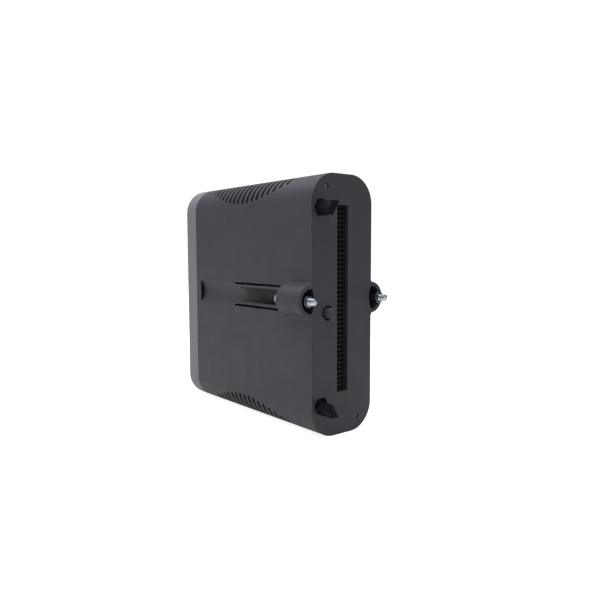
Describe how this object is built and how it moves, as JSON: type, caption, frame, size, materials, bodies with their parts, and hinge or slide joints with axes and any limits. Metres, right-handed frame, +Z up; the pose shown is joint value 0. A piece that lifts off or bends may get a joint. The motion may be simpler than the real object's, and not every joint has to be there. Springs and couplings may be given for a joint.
{
  "type": "plug-in electronics module",
  "caption": "Flat plug-in module: dark moulded case with light front cover, vented edges, recessed two-row socket, coding keys, sprung plunger and captive screws in half-round side bosses.",
  "frame": {"origin": "on the mating end face, midway between the two captive screws and at the middle of the socket", "axes": "+X is the way the module plugs in, +Z is up, +Y runs through its thickness towards the right-hand large face"},
  "size_m": [0.148, 0.0626, 0.144],
  "materials": {
    "housing_plastic": "finely textured dark grey moulded plastic",
    "cover_plastic": "finely textured light grey moulded plastic",
    "seal_rubber": "black soft rubber",
    "lens_plastic": "pale translucent plastic",
    "black_plastic": "black glass-filled plastic",
    "contact_gold": "gold-flashed spring alloy",
    "board_laminate": "green solder mask on glass-epoxy laminate",
    "plated_brass": "nickel-plated",
    "screw_steel": "bright zinc-plated steel",
    "black_steel": "black-oxide spring steel",
    "washer_steel": "zinc-plated steel",
    "spring_steel": "drawn spring steel wire",
    "block_aluminium": "machined",
    "tinned_steel": "tinned sheet steel",
    "chip_plastic": "black moulded epoxy",
    "heat_sink_aluminium": "clear anodised",
    "ferrite": "dark grey ferrite",
    "capacitor_sleeve": "blue sleeve",
    "key_plastic": "near-black moulded plastic"
  },
  "bodies": {
    "case": {"housing": "housing_plastic", "front_cover": "cover_plastic", "cover_seal": "seal_rubber", "indicator_lenses": "lens_plastic", "connector_body": "black_plastic", "connector_contacts": "contact_gold", "main_board": "board_laminate", "daughter_board": "board_laminate", "board_link_header": "black_plastic", "board_spacers": "plated_brass", "board_screws": "screw_steel", "end_blocks": "block_aluminium", "end_face_screws": "black_steel", "shield_can_upper": "tinned_steel", "shield_can_lower": "tinned_steel", "signal_chips": "chip_plastic", "power_amplifiers": "chip_plastic", "heat_sink": "heat_sink_aluminium", "power_converter": "chip_plastic", "power_inductors": "ferrite", "filter_capacitors": "capacitor_sleeve", "indicator_leds": "lens_plastic", "plunger_spring": "spring_steel", "plunger_guide": "black_plastic", "plunger_switch": "black_plastic"},
    "plunger": {"plunger": "housing_plastic"},
    "upper_key": {"upper_coding_key": "key_plastic"},
    "lower_key": {"lower_coding_key": "key_plastic"},
    "left_washer": {"left_screw_washer": "washer_steel"},
    "left_screw": {"left_captive_screw": "screw_steel", "left_screw_ring": "black_steel"},
    "right_washer": {"right_screw_washer": "washer_steel"},
    "right_screw": {"right_captive_screw": "screw_steel", "right_screw_ring": "black_steel"}
  },
  "joints": [
    {"name": "plunger_press", "type": "slide", "parent": "case", "child": "plunger", "axis": [-1, 0, 0], "range_m": [0, 0.004], "stiffness_N_per_m": 400, "springref_m": -0.003, "deforming": ["plunger_spring"]},
    {"name": "upper_key_pull", "type": "slide", "parent": "case", "child": "upper_key", "axis": [1, 0, 0], "range_m": [0, 0.008]},
    {"name": "lower_key_pull", "type": "slide", "parent": "case", "child": "lower_key", "axis": [1, 0, 0], "range_m": [0, 0.008]},
    {"name": "left_screw_travel", "type": "slide", "parent": "case", "child": "left_washer", "axis": [1, 0, 0], "range_m": [-0.0138, 0.0032]},
    {"name": "left_screw_turn", "type": "hinge", "parent": "left_washer", "child": "left_screw", "pos_m": [-0.01, -0.025, 0], "axis": [1, 0, 0], "continuous": true},
    {"name": "right_screw_travel", "type": "slide", "parent": "case", "child": "right_washer", "axis": [1, 0, 0], "range_m": [-0.017, 0]},
    {"name": "right_screw_turn", "type": "hinge", "parent": "right_washer", "child": "right_screw", "pos_m": [-0.01, 0.025, 0], "axis": [1, 0, 0], "continuous": true}
  ]
}
